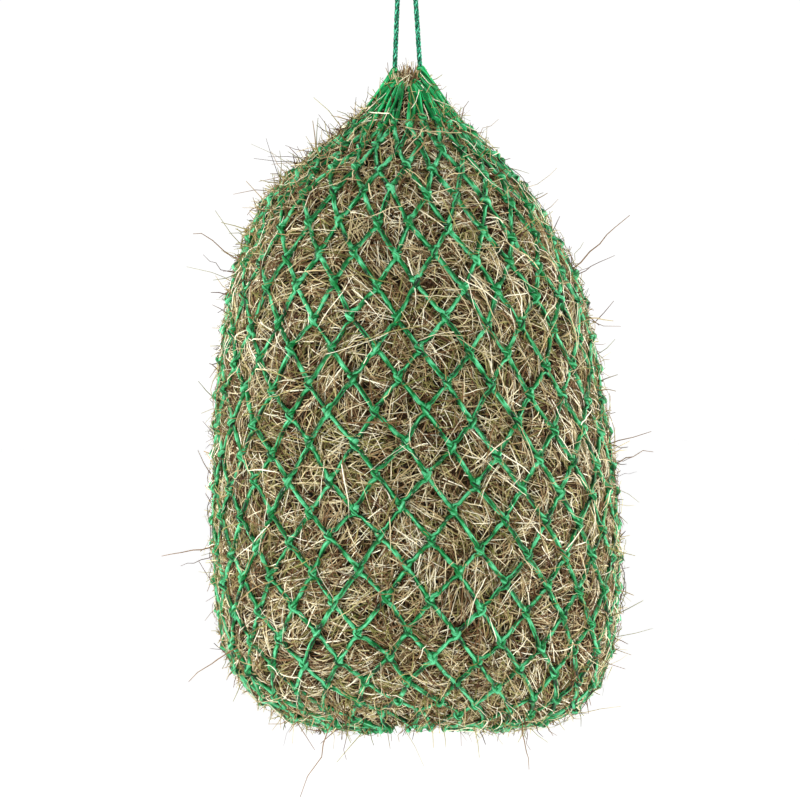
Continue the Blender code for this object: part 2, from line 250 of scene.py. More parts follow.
def tube_arrays(line, radius, sides, closed=False, up=(0, 0, 1), lobes=0, lobe=0.0, pitch=0.02,
                flat=1.0, u_length=0.25, u_shift=0.0, v_span=(0.0, 1.0)):
    """Points, faces and corner uvs of one strand. radius may vary along it; lobes twist with pitch."""
    line = np.asarray(line, float)
    n = len(line)
    radius = np.broadcast_to(np.asarray(radius, float), (n,))
    side, other = frames_along(line, closed, up)
    steps = norm(np.roll(line, -1, 0) - line, axis=1)
    run = np.concatenate(([0], np.cumsum(steps)))[:n + 1]
    around = TURN * np.arange(sides) / sides
    turns = TURN * run[:n] / pitch
    if closed and lobes:
        whole = round(run[n] / pitch * lobes) / lobes
        turns = TURN * run[:n] / run[n] * whole
    shape = radius[:, None] * (1 + lobe * np.cos(lobes * around[None] - lobes * turns[:, None]))
    a, b = shape * np.cos(around)[None], shape * np.sin(around)[None] * flat
    points = line[:, None] + a[..., None] * side[:, None] + b[..., None] * other[:, None]
    rings = n if closed else n - 1
    i = np.arange(rings)[:, None]
    j = np.arange(sides)[None]
    k = (j + 1) % sides
    i2 = (i + 1) % n
    quads = np.stack([i * sides + j, i * sides + k, i2 * sides + k, i2 * sides + j], -1).reshape(-1, 4)[:, ::-1]
    u0 = folded(run[:rings] / u_length + u_shift)
    u1 = folded(run[1:rings + 1] / u_length + u_shift)
    uv = np.empty((rings, sides, 4, 2))
    v_step = (v_span[1] - v_span[0]) / sides
    v0 = (v_span[0] + v_step * np.arange(sides))[None]
    v1 = v0 + v_step
    uv[:, :, :2, 0], uv[:, :, 2:, 0] = u1[:, None, None], u0[:, None, None]
    uv[:, :, 0, 1] = uv[:, :, 3, 1] = v0
    uv[:, :, 1, 1] = uv[:, :, 2, 1] = v1
    return points.reshape(-1, 3), quads, uv.reshape(-1, 2)


class Gather:
    """Collects strands into one mesh."""

    def __init__(self):
        self.points, self.faces, self.uvs, self.count = [], {}, {}, 0

    def add(self, points, *faces_and_uvs):
        """Points, then one or more pairs of faces and their corner uvs."""
        for faces, uvs in zip(faces_and_uvs[::2], faces_and_uvs[1::2]):
            self.faces.setdefault(faces.shape[1], []).append(faces + self.count)
            self.uvs.setdefault(faces.shape[1], []).append(uvs)
        self.points.append(points)
        self.count += len(points)

    def strand(self, line, radius, sides, **words):
        points, quads, uvs = tube_arrays(line, radius, sides, **words)
        if words.get("closed"):
            self.add(points, quads, uvs)
            return
        j = np.arange(sides)
        k = (j + 1) % sides
        first, tip = len(points), (len(line) - 1) * sides
        caps = np.vstack([np.stack([j, k, np.full(sides, first)], -1),
                          np.stack([tip + k, tip + j, np.full(sides, first + 1)], -1)])
        cap_uvs = np.tile([[0.5, 0.5], [0.51, 0.5], [0.5, 0.51]], (2 * sides, 1))
        self.add(np.vstack([points, line[0], line[-1]]), quads, uvs, caps, cap_uvs)

    def made(self, name, mat):
        sizes = sorted(self.faces)
        return new_mesh(name, np.vstack(self.points), [np.vstack(self.faces[s]) for s in sizes], mat,
                        np.vstack([np.vstack(self.uvs[s]) for s in sizes]))


# ---- materials


def srgb(r, g, b):
    def one(c):
        c /= 255
        return c / 12.92 if c <= 0.04045 else ((c + 0.055) / 1.055) ** 2.4
    return (one(r), one(g), one(b), 1.0)


class Nodes:
    """Short names for building the node tree of a material or of the world."""

    def __init__(self, name, kind="materials", shader="Principled BSDF"):
        self.owner = getattr(bpy.data, kind).new(name)
        self.owner.use_nodes = True
        self.tree = self.owner.node_tree
        self.shader = self.tree.nodes[shader]

    def feed(self, node, sockets):
        """Links or sets sockets by name or number."""
        for key, value in sockets.items():
            if hasattr(value, "links"):
                self.tree.links.new(value, node.inputs[key])
            else:
                node.inputs[key].default_value = value

    def set(self, **sockets):
        """The shader's own sockets, with _ for a space."""
        self.feed(self.shader, {key.replace("_", " "): value for key, value in sockets.items()})

    def new(self, kind, sockets=None, **values):
        node = self.tree.nodes.new("ShaderNode" + kind)
        for key, value in values.items():
            setattr(node, key, value)
        self.feed(node, sockets or {})
        return node

    def scaled(self, socket, scale):
        return self.new("Mapping", {"Scale": scale, "Vector": socket}).outputs["Vector"]

    def uv_socket(self):
        return self.new("UVMap", uv_map="OFBake").outputs["UV"]

    def uv(self, along, across):
        return self.scaled(self.uv_socket(), (along, across, 1))

    def uv_parts(self):
        return self.new("SeparateXYZ", {0: self.uv_socket()}).outputs

    def place(self, scale=(1, 1, 1)):
        return self.scaled(self.new("TexCoord").outputs["Object"], scale)

    def noise(self, vector, scale, detail=3.0, rough=0.55):
        sockets = {"Scale": scale, "Detail": detail, "Roughness": rough, "Vector": vector}
        return self.new("TexNoise", sockets).outputs["Fac"]

    def ramp(self, fac, stops, mode="LINEAR"):
        node = self.new("ValToRGB", {"Fac": fac})
        node.color_ramp.interpolation = mode
        elements = node.color_ramp.elements
        while len(elements) < len(stops):
            elements.new(0.5)
        for element, (at, colour) in zip(elements, stops):
            element.position = at
            element.color = colour if isinstance(colour, tuple) else (colour, colour, colour, 1.0)
        return node.outputs["Color"]

    def mix(self, a, b, fac, mode="MIX"):
        return self.new("Mix", {6: a, 7: b, 0: fac}, data_type="RGBA", blend_type=mode).outputs[2]

    def times(self, a, b):
        return self.mix(a, b, 1.0, "MULTIPLY")

    def value(self, socket, low, high):
        return self.new("MapRange", {"To Min": low, "To Max": high, "Value": socket}).outputs["Result"]

    def bump(self, height, strength, distance):
        node = self.new("Bump", {"Strength": strength, "Distance": distance, "Height": height})
        self.set(Normal=node.outputs["Normal"])


def twine_material(name, dark, mid, light, rough, across=2.2, along=1.0, shade_values=(1.0, 1.0)):
    """Split-film polypropylene with painted light: lengthwise streaks that run from painted shade to painted sheen,
    patches of uneven tone whose pale ones are a painted sheen, and painted glints.
    Of the two shade values, the first darkens the strands laid in the lower half of the uv square as painted shade,
    the second lightens those in the upper half as painted light."""
    n = Nodes(name)
    # lengthwise streaks: the colour ramp turns their dark end into painted shade and their light end into painted
    # sheen across the strand
    streak_shade_sheen = n.noise(n.uv(11 * along, across * 1.6), 1.0, 2.0, 0.5)
    fine = n.noise(n.uv(44 * along, across * 8), 1.0, 3.0, 0.6)
    patches = n.noise(n.uv(11 * along, 1.1), 1.0, 2.0, 0.5)
    glints = n.noise(n.uv(60 * along, across * 4.0), 1.0, 1.0, 0.5)
    colour = n.ramp(streak_shade_sheen, [(0.38, dark), (0.50, mid), (0.62, light)])
    # patches along the strand: uneven tone, with the paler patches a painted sheen
    patchy_tone_sheen = n.ramp(patches, [(0.36, (0.80, 0.85, 0.82, 1)), (0.50, (0.98, 0.99, 0.98, 1)),
                            (0.64, (1.18, 1.08, 1.12, 1))])
    threads = n.ramp(fine, [(0.34, (0.42, 0.52, 0.46, 1)), (0.51, 1.0), (0.66, (1.44, 1.16, 1.28, 1))])
    # painted glints: pale specks mixed into the colour as painted highlights
    painted_glint = n.ramp(glints, [(0.64, 0.0), (0.78, 0.6)])
    shown = n.mix(n.times(n.times(colour, patchy_tone_sheen), threads), srgb(170, 236, 196), painted_glint)
    if shade_values != (1.0, 1.0):
        # the braid's painted shade: strands in the lower half of the uv square darkened, those in the upper half
        # lightened
        braid_shade = n.ramp(n.uv_parts()["Y"], [(0.0, shade_values[0]), (0.5, shade_values[1])], "CONSTANT")
        shown = n.times(shown, braid_shade)
    n.set(Base_Color=shown, Roughness=n.value(fine, rough - 0.12, rough + 0.16), Specular_IOR_Level=0.20)
    n.bump(fine, 0.7, 0.0010)
    return n.owner


def hay_material(name):
    """Dry grass. u picks the stem's own colour; v runs along it in four bands, the last deepest in the bag and each
    deeper band darker as painted shade.
    """
    n = Nodes(name)
    parts = n.uv_parts()
    stem = n.ramp(parts["X"], [
        (0.00, srgb(46, 32, 20)), (0.10, srgb(92, 62, 42)), (0.20, srgb(140, 108, 74)),
        (0.32, srgb(172, 150, 108)), (0.44, srgb(212, 195, 150)), (0.56, srgb(233, 220, 180)),
        (0.66, srgb(250, 243, 216)), (0.76, srgb(178, 168, 110)), (0.86, srgb(146, 140, 82)),
        (0.94, srgb(114, 114, 60)), (1.00, srgb(84, 86, 44))])
    # the deeper a blade lies, the darker its band: painted shade between the layers
    depth = n.ramp(parts["Y"], [(0.0, 1.0), (0.25, (0.385, 0.37, 0.285, 1)), (0.50, (0.15, 0.14, 0.090, 1)),
                                (0.75, (0.056, 0.051, 0.029, 1))], "CONSTANT")
    blotch = n.noise(n.uv(90, 16), 1.0, 3.0, 0.6)
    mottle = n.ramp(blotch, [(0.30, (0.70, 0.66, 0.60, 1)), (0.50, 1.0), (0.72, (1.16, 1.16, 1.12, 1))])
    n.set(Base_Color=n.times(n.times(stem, depth), mottle), Roughness=n.value(blotch, 0.50, 0.82),
          Specular_IOR_Level=0.12)
    n.bump(n.noise(n.uv(400, 24), 1.0, 2.0, 0.5), 0.25, 0.0004)
    return n.owner


def core_material():
    """The shaded hay underneath, seen only in gaps."""
    n = Nodes("hay_core_shade")
    streak = n.noise(n.place((1.0, 1.0, 0.25)), 420.0, 4.0, 0.65)
    clump = n.noise(n.place(), 38.0, 3.0, 0.6)
    colour = n.ramp(streak, [(0.30, srgb(8, 6, 3)), (0.50, srgb(20, 16, 8)), (0.66, srgb(44, 36, 20)),
                             (0.80, srgb(72, 62, 38))])
    tint = n.ramp(clump, [(0.35, (0.7, 0.74, 0.62, 1)), (0.65, (1.05, 1.0, 0.92, 1))])
    n.set(Base_Color=n.times(colour, tint), Roughness=n.value(clump, 0.85, 0.98))
    n.bump(streak, 0.9, 0.002)
    return n.owner


def steel_material():
    n = Nodes("zinc_plated_wire")
    brushed = n.noise(n.place(), 900.0, 3.0, 0.6)
    cloud = n.noise(n.place(), 160.0, 3.0, 0.6)
    grey = n.ramp(cloud, [(0.3, srgb(92, 95, 98)), (0.7, srgb(146, 149, 152))])
    n.set(Base_Color=grey, Roughness=n.value(brushed, 0.26, 0.46), Metallic=1.0)
    n.bump(brushed, 0.12, 0.0003)
    return n.owner


NET = twine_material("netting_twine", srgb(0, 40, 13), srgb(4, 128, 58), srgb(96, 210, 148), 0.40)
LOOPS = twine_material("neck_loop_twine", srgb(0, 58, 24), srgb(0, 140, 66), srgb(56, 208, 126), 0.38, 3.0, 0.5)
# drawcord braid: 0.22 darkens one way of strands and the core as painted shade, 1.12 lightens the other way as painted
# light
CORD = twine_material("drawcord_braid", srgb(0, 96, 64), srgb(10, 160, 114), srgb(104, 222, 180), 0.46, 3, 2.0,
                      (0.22, 1.12))
HAY = hay_material("hay_stems")
CORE = core_material()
STEEL = steel_material()

# ---- the filled bag's surface, read by azimuth from the front and share of the way down


def between(grid, i, j, i2, j2, fa, fs):
    """Bilinear value between four cells."""
    return (grid[i, j] * (1 - fa) + grid[i2, j] * fa) * (1 - fs) + (grid[i, j2] * (1 - fa) + grid[i2, j2] * fa) * fs


class Bag:
    STEPS_ROUND, STEPS_DOWN = 216, 420

    def __init__(self):
        self.z, self.half, self.depth, self.lean = catmull(PROFILE, 10).T
        round_, down = self.STEPS_ROUND, self.STEPS_DOWN
        self.grid = np.empty((round_ + 1, down + 1, 3))
        self.total = np.empty(round_ + 1)
        shares = np.linspace(0, 1, down + 1)
        for i in range(round_ + 1):
            line, run = self.meridian(TURN * i / round_)
            self.total[i] = run[-1]
            self.grid[i] = np.column_stack([np.interp(shares * run[-1], run, line[:, k]) for k in range(3)])
            sag = np.clip((shares - 0.84) / 0.12, 0, 1)
            self.grid[i, :, 2] += BASE_SADDLE * cos(TURN * i / round_) ** 2 * sag * sag * (3 - 2 * sag)
        around = (np.roll(self.grid[:-1], -1, 0) - np.roll(self.grid[:-1], 1, 0)) * round_ / (4 * pi)
        around = np.concatenate([around, around[:1]])
        downward = np.gradient(self.grid, axis=1)
        self.metric = norm(around, axis=2)
        self.out = unit(np.cross(downward, around))

    def meridian(self, azimuth):
        line = np.column_stack((self.lean + self.half * sin(azimuth),
                                -self.depth * cos(azimuth), self.z))
        return line, run_along(line)

    def _mixed(self, values, azimuth, share):
        a = (np.asarray(azimuth) / TURN % 1) * self.STEPS_ROUND
        s = np.clip(np.asarray(share), 0, 1) * self.STEPS_DOWN
        i, j = np.minimum(a.astype(int), self.STEPS_ROUND - 1), np.minimum(s.astype(int), self.STEPS_DOWN - 1)
        fa, fs = a - i, s - j
        if values.ndim == 3:
            fa, fs = fa[..., None], fs[..., None]
        return between(values, i, j, i + 1, j + 1, fa, fs)

    def point(self, azimuth, share):
        return self._mixed(self.grid, azimuth, share)

    def outward(self, azimuth, share):
        return unit(self._mixed(self.out, azimuth, share))

    def reach(self, azimuth, share):
        """Metres for each radian round, and for the whole way down."""
        a = (np.asarray(azimuth) / TURN % 1) * self.STEPS_ROUND
        return self._mixed(self.metric, azimuth, share), self.total[a.astype(int)]

    def frame(self, azimuth, share):
        place, out = self.point(azimuth, share), self.outward(azimuth, share)
        down = self.point(azimuth, np.asarray(share) + 0.002) - self.point(azimuth, np.asarray(share) - 0.002)
        down = unit(down - out * (down * out).sum(-1, keepdims=True))
        return place, np.cross(out, down), down, out

    def width_at(self, share):
        _, run = self.meridian(pi / 4)
        half = np.interp(share * run[-1], run, self.half)
        depth = np.interp(share * run[-1], run, self.depth)
        return TURN * sqrt((half ** 2 + depth ** 2) / 2) / AROUND


bag = Bag()


def row_levels():
    total = bag.meridian(pi / 4)[1][-1]
    levels = [FIRST_LOOP / total]
    end = 1 - LAST_LOOP / total
    while levels[-1] < end:
        half_mesh = bag.width_at(min(levels[-1] + 0.5 * BAR / total, 1)) / 2
        levels.append(levels[-1] + sqrt(max(BAR ** 2 - half_mesh ** 2, 0)) / total)
    if levels[-1] - end > (levels[-1] - levels[-2]) / 2:
        levels.pop()
    stretch = (end - levels[0]) / (levels[-1] - levels[0])
    return np.array([levels[0] + (level - levels[0]) * stretch for level in levels])


LEVELS = row_levels()
COURSES = len(LEVELS) - 1
row_names = [f"mesh_row_{k + 1:02d}" for k in range(COURSES)]
assert all(name in nodes for name in row_names) and f"mesh_row_{COURSES + 1:02d}" not in nodes


def in_meshes(azimuth, share):
    """The same place counted in half meshes round and in lines of knots down."""
    spread = np.concatenate(([2 * LEVELS[0] - LEVELS[1]], LEVELS, [2 * LEVELS[-1] - LEVELS[-2]]))
    return (np.asarray(azimuth) - PHASE) * AROUND / pi, np.interp(share, spread, np.arange(-1, len(LEVELS) + 1))


def bulge(azimuth, share):
    """How far the hay swells out of a mesh hole, or is pressed in by the twine."""
    a, b = in_meshes(azimuth, share)
    open_ = np.abs(np.sin(pi * (a + b) / 2) * np.sin(pi * (a - b) / 2))
    room = np.clip((np.asarray(share) - 0.04) / 0.22, 0, 1) * np.clip((1.02 - np.asarray(share)) / 0.08, 0, 1)
    return room * (0.0066 * open_ ** 0.8) - 0.0026


# ---- netting
shift_rng = rng_for("knot shifts")
KNOT_SHIFT = shift_rng.normal(0, 1, (len(LEVELS) + 1, 2 * AROUND, 2)).clip(-1.8, 1.8)
TWINE = 0.0026
# each strand's way through a knot, in twine radii: across, down, outward
BIGHT = ((-0.95, -2.3, 0.5), (-1.15, -0.4, 1.0), (-0.80, 1.2, 1.2), (0.0, 1.8, 1.25), (0.80, 1.2, 1.2),
         (1.15, -0.4, 1.0), (0.95, -2.3, 0.5))
WRAP = ((-0.95, 2.4, -0.3), (-0.35, 0.9, 0.4), (0.4, -0.6, 1.9), (1.25, -1.2, 1.8), (1.75, -1.7, 0.5),
        (1.1, -2.2, -0.9), (0.0, -2.4, -1.2), (-1.1, -2.1, -0.9), (-1.75, -1.3, 0.5), (-1.25, -0.4, 1.9),
        (-0.1, 0.7, 2.5), (0.75, 1.6, 1.5), (1.0, 2.6, 0.3))
LOOP_FOOT = ((0.95, -2.3, 0.5), (1.1, -0.4, 1.0), (0.0, 1.6, 1.3), (-1.1, -0.4, 1.0), (-0.95, -2.3, 0.5))
BASE_WRAP = ((2.3, -1.3, 2.2), (3.3, -2.0, 0.6), (0.0, -2.7, -1.2), (-3.3, -2.0, 0.6), (-2.3, -1.0, 2.2))


def knot_place(level, j):
    """Azimuth and share of a knot, moved a few millimetres as tied and stretched by hand."""
    j = j % (2 * AROUND)
    azimuth = PHASE + pi * j / AROUND
    share = LEVELS[level]
    metric, total = bag.reach(azimuth, share)
    azimuth += KNOT_SHIFT[level, j, 0] * 0.0024 / max(float(metric), 0.06)
    share += KNOT_SHIFT[level, j, 1] * (0.0060 if level == 0 else 0.0028) / float(total)
    return azimuth, share


def knot_frame(level, j):
    place, across, down, out = bag.frame(*knot_place(level, j))
    roll = KNOT_SHIFT[level, j % (2 * AROUND), 0] * 0.12 - 0.10
    across, down = across * cos(roll) + down * sin(roll), down * cos(roll) - across * sin(roll)
    squeeze = min(1.0, 0.35 + float(bag.reach(*knot_place(level, j))[0]) / 0.16)
    return place + out * 0.0012, across * squeeze, down, out


def bar_points(a, b, count, seed):
    """Between two knots the twine follows the hay's surface, a little bowed."""
    (az0, s0), (az1, s1) = a, b
    t = np.linspace(0, 1, count + 2)[1:-1]
    azimuth, share = az0 + (az1 - az0) * t, s0 + (s1 - s0) * t
    place, across, _, out = bag.frame(azimuth, share)
    bow = np.sin(pi * t)[:, None]
    return place + bow * (across * seed[0] * 0.0005 + out * (0.0013 + seed[1] * 0.0005))


def course_line(k):
    points = []
    bows = rng_for(f"course {k}").normal(0, 1, (2 * AROUND, 2)).clip(-2, 2)
    for j in range(2 * AROUND):
        low = (j + k % 2) % 2 == 1
        level = k + 1 if low else k
        place, across, down, out = knot_frame(level, j)
        shape = BIGHT if low else WRAP
        tight = 0.62 + 0.10 * min(level / 5, 1)
        local = np.array(shape) * TWINE * (tight, tight + 0.04, tight)
        if not low and (level * 7 + j) % 3 == 0:
            local = local[::-1] * (-1, 1, 1)
        points.extend(place + x * across + y * down + z * out for x, y, z in local)
        here, there = np.array(knot_place(level, j)), np.array(knot_place(k if low else k + 1, j + 1))
        if j == 2 * AROUND - 1:
            there[0] += TURN
        gap = there - here
        points.extend(bar_points(here + gap * 0.06, here + gap * 0.94, 4, bows[j]))
    return np.array(points)


def closed_smooth(points, step):
    """A smooth closed run through the points: a centripetal spline, so long straight spans stay straight."""
    p = np.asarray(points)
    a, b, c, d = np.roll(p, 1, 0), p, np.roll(p, -1, 0), np.roll(p, -2, 0)
    gap = [np.sqrt(norm(far - near, axis=1))[:, None] + 1e-6 for near, far in ((a, b), (b, c), (c, d))]
    leave = gap[1] * ((b - a) / gap[0] - (c - a) / (gap[0] + gap[1]) + (c - b) / gap[1])
    arrive = gap[1] * ((c - b) / gap[1] - (d - b) / (gap[1] + gap[2]) + (d - c) / gap[2])
    out = []
    spans = norm(c - b, axis=1)
    for i in range(len(p)):
        n = max(2, int(round(spans[i] / step)))
        t = np.linspace(0, 1, n, endpoint=False)[:, None]
        out.append((2 * t ** 3 - 3 * t ** 2 + 1) * b[i] + (t ** 3 - 2 * t ** 2 + t) * leave[i]
                   + (3 * t ** 2 - 2 * t ** 3) * c[i] + (t ** 3 - t ** 2) * arrive[i])
    return np.vstack(out)


def make_courses():
    for k, name in enumerate(row_names):
        line = closed_smooth(course_line(k), 0.0026)
        rng = rng_for(name)
        wobble = np.interp(np.arange(len(line)), np.linspace(0, len(line), 220), rng.normal(0, 0.022, 220))
        gather = Gather()
        thick = TWINE * (1 + 0.14 * max(0, 1 - k / 8)) * (1 + wobble)
        gather.strand(line, thick, 9, closed=True, lobes=3, lobe=0.055, pitch=0.034, flat=0.92,
                      u_shift=rng.random())
        ob = gather.made(name + "_twine", NET)
        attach(ob, "net")
        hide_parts(name)


def spoke(level, j, tight_share, tight_azimuth, lift):
    """One side of a gathered loop, from its knot to the bunch."""
    here = knot_place(level, j)
    t = np.linspace(0.10, 1, 12)
    azimuth = here[0] + (tight_azimuth - here[0]) * t ** 0.8
    share = here[1] + (tight_share - here[1]) * t
    place, out = bag.point(azimuth, share), bag.outward(azimuth, share)
    return place + out * (lift * np.sin(pi * t * 0.5) ** 2)[:, None]


NECK_X, NECK_Y, NECK_SAG = 0.0142, 0.0100, 0.0205
BUNCHES = np.radians((-158, -112, -84, -47, -21, 9, 30, 62, 92, 118, 160, 202))


def neck_rim(azimuth, outward=0.0, up=0.0):
    """Where the loops turn over the drawcord: high at the sides it pulls on, lower front and back."""
    azimuth = np.asarray(azimuth, float)
    sag = NECK_SAG * np.abs(np.cos(azimuth)) ** 1.2
    return np.stack([(NECK_X + outward) * np.sin(azimuth), -(NECK_Y + outward) * np.cos(azimuth),
                     NECK_Z + 0.0030 - sag + up], -1)


def make_neck_loops():
    """The first loops, drawn together into the neck in bunches and folded over its cord."""
    rng = rng_for("neck loops")
    gather = Gather()
    for j in range(0, 2 * AROUND, 2):
        azimuth, share = knot_place(0, j)
        azimuth = (azimuth + pi) % TURN - pi
        bunch = BUNCHES[np.argmin(np.abs(BUNCHES - azimuth))]
        place, across, down, out = knot_frame(0, j)
        halves = []
        for side in (-1, 1):
            gathered = azimuth + (bunch - azimuth) * rng.uniform(0.62, 0.86) + side * 0.05 + rng.normal(0, 0.03)
            lift, high = rng.uniform(0.0, 0.0048), rng.uniform(-0.0015, 0.0025)
            t = np.linspace(0.05, 1, 15)
            az = azimuth + (gathered - azimuth) * (1 - (1 - t) ** 1.5) + side * 0.012 * np.sin(pi * t)
            sh = share * (1 - t) + 0.012 * t
            proud = 0.0010 + lift * np.sin(pi * np.minimum(t * 0.6, 0.5)) ** 2
            skin = bag.point(az, sh) + bag.outward(az, sh) * proud[:, None]
            turn = eased(np.clip((t - 0.62) / 0.38, 0, 1))[:, None]
            line = skin * (1 - turn) + neck_rim(az, lift, high) * turn
            halves.append(line + across * (side * 0.0020 * (1 - t) ** 2)[:, None])
        top_a, top_b = halves[0][-1], halves[1][-1]
        inward = -neck_rim(azimuth) * (1, 1, 0)
        inward /= norm(inward)
        over = (top_a + top_b) / 2 + np.array((0, 0, 0.0020)) + inward * 0.0050
        under = [place + (x * across + y * down + z * out) * TWINE for x, y, z in LOOP_FOOT]
        line = np.vstack([halves[0], top_a + inward * 0.0018 + (0, 0, 0.0018), over,
                          top_b + inward * 0.0018 + (0, 0, 0.0018), halves[1][::-1], under])
        thick = 0.0024 + 0.0004 * rng.random()
        gather.strand(closed_smooth(line, 0.0028), thick, 10, closed=True, lobes=2, lobe=0.16, pitch=0.09, flat=0.86,
                      u_shift=rng.random())
    ob = gather.made("neck_loops_twine", LOOPS)
    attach(ob, "net")
    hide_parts("neck_loops")


def make_base():
    rng = rng_for("base loops")
    gather = Gather()
    last = len(LEVELS) - 1
    for j in range(2 * AROUND):
        if (j + last) % 2:
            continue
        place, across, down, out = knot_frame(last, j)
        azimuth, _ = knot_place(last, j)
        half = [spoke(last, j, 0.995, azimuth + side * 0.06, rng.uniform(0, 0.003))
                + across * side * 0.002 * np.linspace(1, 0.1, 12)[:, None] for side in (-1, 1)]
        top = (half[0][-1] + half[1][-1]) / 2 + np.array((0, 0, 0.003))
        wrap = [place + (x * across + y * down + z * out) * TWINE for x, y, z in BASE_WRAP]
        line = np.vstack([half[0], [top], half[1][::-1], wrap])
        gather.strand(closed_smooth(line, 0.0028), TWINE, 9, closed=True, lobes=3, lobe=0.1, pitch=0.03,
                      flat=0.95, u_shift=rng.random())
    ob = gather.made("base_loops_twine", NET)
    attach(ob, "net")
    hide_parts("base_loops")
    low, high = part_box("base_cord")
    centre = (np.array(low) + np.array(high)) / 2
    turns = []
    for a in np.linspace(0, TURN * 3, 120, endpoint=False):
        radius = 0.0139 + 0.0012 * sin(a / 3)
        turns.append(centre + (radius * cos(a), radius * sin(a), 0.0016 * cos(a / 3 + 1)))
    gather = Gather()
    gather.strand(np.array(turns), 0.0015, 8, closed=True, lobes=2, lobe=0.1, pitch=0.012)
    ob = gather.made("base_cord_turns", NET)
    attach(ob, "net")
    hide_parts("base_cord")


# ---- drawcord: a round braid of eight strands


def braid(gather, line, radius, plait=0.030, sides=6):
    """Eight strands, four each way round, passing over and under each other."""
    run = run_along(line)
    count = max(24, int(run[-1] / 0.0011))
    line = resample(line, count)
    side, other = frames_along(line, False, (0, 1, 0))
    at = np.linspace(0, run[-1], count)
    strand_r = radius * 0.44
    for way in (-1, 1):
        for s in range(4):
            angle = way * TURN * at / plait + s * pi / 2 + (0.4 if way > 0 else 0)
            weave = np.cos(4 * (TURN * at / plait) + way * pi / 2)
            reach = (radius - strand_r * 0.62) * (1 + 0.10 * weave)
            path = line + side * (reach * np.cos(angle))[:, None] + other * (reach * np.sin(angle))[:, None]
            # strands laid one way take the lower half of the uv square and so the darker painted shade
            gather.strand(path, strand_r, sides, flat=0.8, u_length=0.2, u_shift=0.13 * s + 0.5 * (way > 0),
                          v_span=(0.02, 0.48) if way < 0 else (0.52, 0.98))
    # the core, seen in the gaps between strands, also takes the dark painted shade
    gather.strand(line, radius * 0.62, 8, u_length=0.2, v_span=(0.02, 0.48))


def cord_piece(name, route, radius, body, node, **facts):
    line = catmull(route, 12)
    gather = Gather()
    braid(gather, line, radius)
    ob = gather.made(name, CORD)
    if body:
        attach(ob, body)
    if node:
        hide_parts(node)
    path = resample(line, 60)
    length_of(path)
    return ob


def make_cords():
    loop_r = WIRE_R + CORD_GAP + CORD_R
    arc = [(0.0, loop_r * cos(a), WIRE_Z + loop_r * sin(a)) for a in np.linspace(0, pi, 11)]
    foot_z = KNOT_Z + KNOT_R + 0.0005
    sides = [(0.0, LOOP_FOOT_Y, foot_z), (0.0, (LOOP_FOOT_Y + loop_r) / 2 + 0.0003, (foot_z + WIRE_Z) / 2)]
    route = sides + arc + [(0.0, -y, z) for _, y, z in reversed(sides)]
    cord_piece("cord_loop_braid", route, CORD_R, "cord_loop", "cord_loop", far_end="knot", stiffness="limp",
               lay="taut", with_pieces=["cord_knot_tied"])
    for name, side in (("drawcord_leg_left", -1), ("drawcord_leg_right", 1)):
        route = ((side * LEG_TOP_X, 0, LEG_TOP_Z),
                 (side * (LEG_TOP_X + LEG_FOOT_X) / 2, 0, (LEG_TOP_Z + LEG_FOOT_Z) / 2),
                 (side * LEG_FOOT_X, 0, LEG_FOOT_Z))
        ob = cord_piece(name + "_braid", route, CORD_R, None, name, far_end="object", stiffness="limp", lay="taut")
        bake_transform(ob)
    for name, flat, heights in zip(("cord_tail_left", "cord_tail_right"), TAIL_POINTS, TAIL_Z):
        route = [(x, y, z) for (x, y), z in zip(flat, heights)]
        cord_piece(name + "_braid", route, CORD_R * 0.92, "cord_knot", name, far_end="bare", stiffness="limp",
                   lay="hanging")


def make_knot():
    """The overhand knot that ties the doubled cord into a loop, with the cord run on into it."""
    roots = Gather()
    for side in (-1, 1):
        braid(roots, catmull([(0, side * LOOP_FOOT_Y, KNOT_Z + KNOT_R + 0.0012), (0, side * 0.0040, KNOT_Z + 0.0065),
                              (0, side * 0.0016, KNOT_Z + 0.0010)], 12), CORD_R)
    ob = roots.made("cord_loop_roots", CORD)
    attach(ob, "cord_loop")
    gather = Gather()
    for side in (-1, 1):
        braid(gather, catmull([(side * LEG_TOP_X, 0, LEG_TOP_Z - 0.0008), (side * 0.0036, 0, KNOT_Z - 0.0065),
                               (side * 0.0014, 0, KNOT_Z - 0.0010)], 12), CORD_R)
    for flat, heights in zip(TAIL_POINTS, TAIL_Z):
        (x, y), z = flat[0], heights[0]
        braid(gather, catmull([(x * 1.06, y * 1.04, z - 0.0001), (x * 0.60, y * 0.60, z + 0.0004),
                               (x * 0.15, y * 0.15, KNOT_Z)], 12), CORD_R * 0.92)
    centre = np.array((0, 0, KNOT_Z + 0.0014))
    for turn, lift in ((0.0, 0.0), (0.55, 0.0012)):
        t = np.linspace(0, TURN, 80, endpoint=False)
        x = 0.0038 * (np.sin(t) + 0.9 * np.sin(2 * t))
        y = 0.0038 * (np.cos(t) - 0.9 * np.cos(2 * t))
        z = 0.0038 * np.sin(3 * t) + lift
        line = np.column_stack([x * cos(turn) - y * sin(turn), x * sin(turn) + y * cos(turn), z])
        line = line[:, [0, 2, 1]]
        # the upper half of the uv square gives the lighter tone of the braid's painted light and shade
        gather.strand(centre + line, 0.0026, 10, closed=True, lobes=4, lobe=0.07, pitch=0.010, v_span=(0.52, 0.98))
    ob = gather.made("cord_knot_tied", CORD)
    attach(ob, "cord_knot")
    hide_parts("cord_knot")


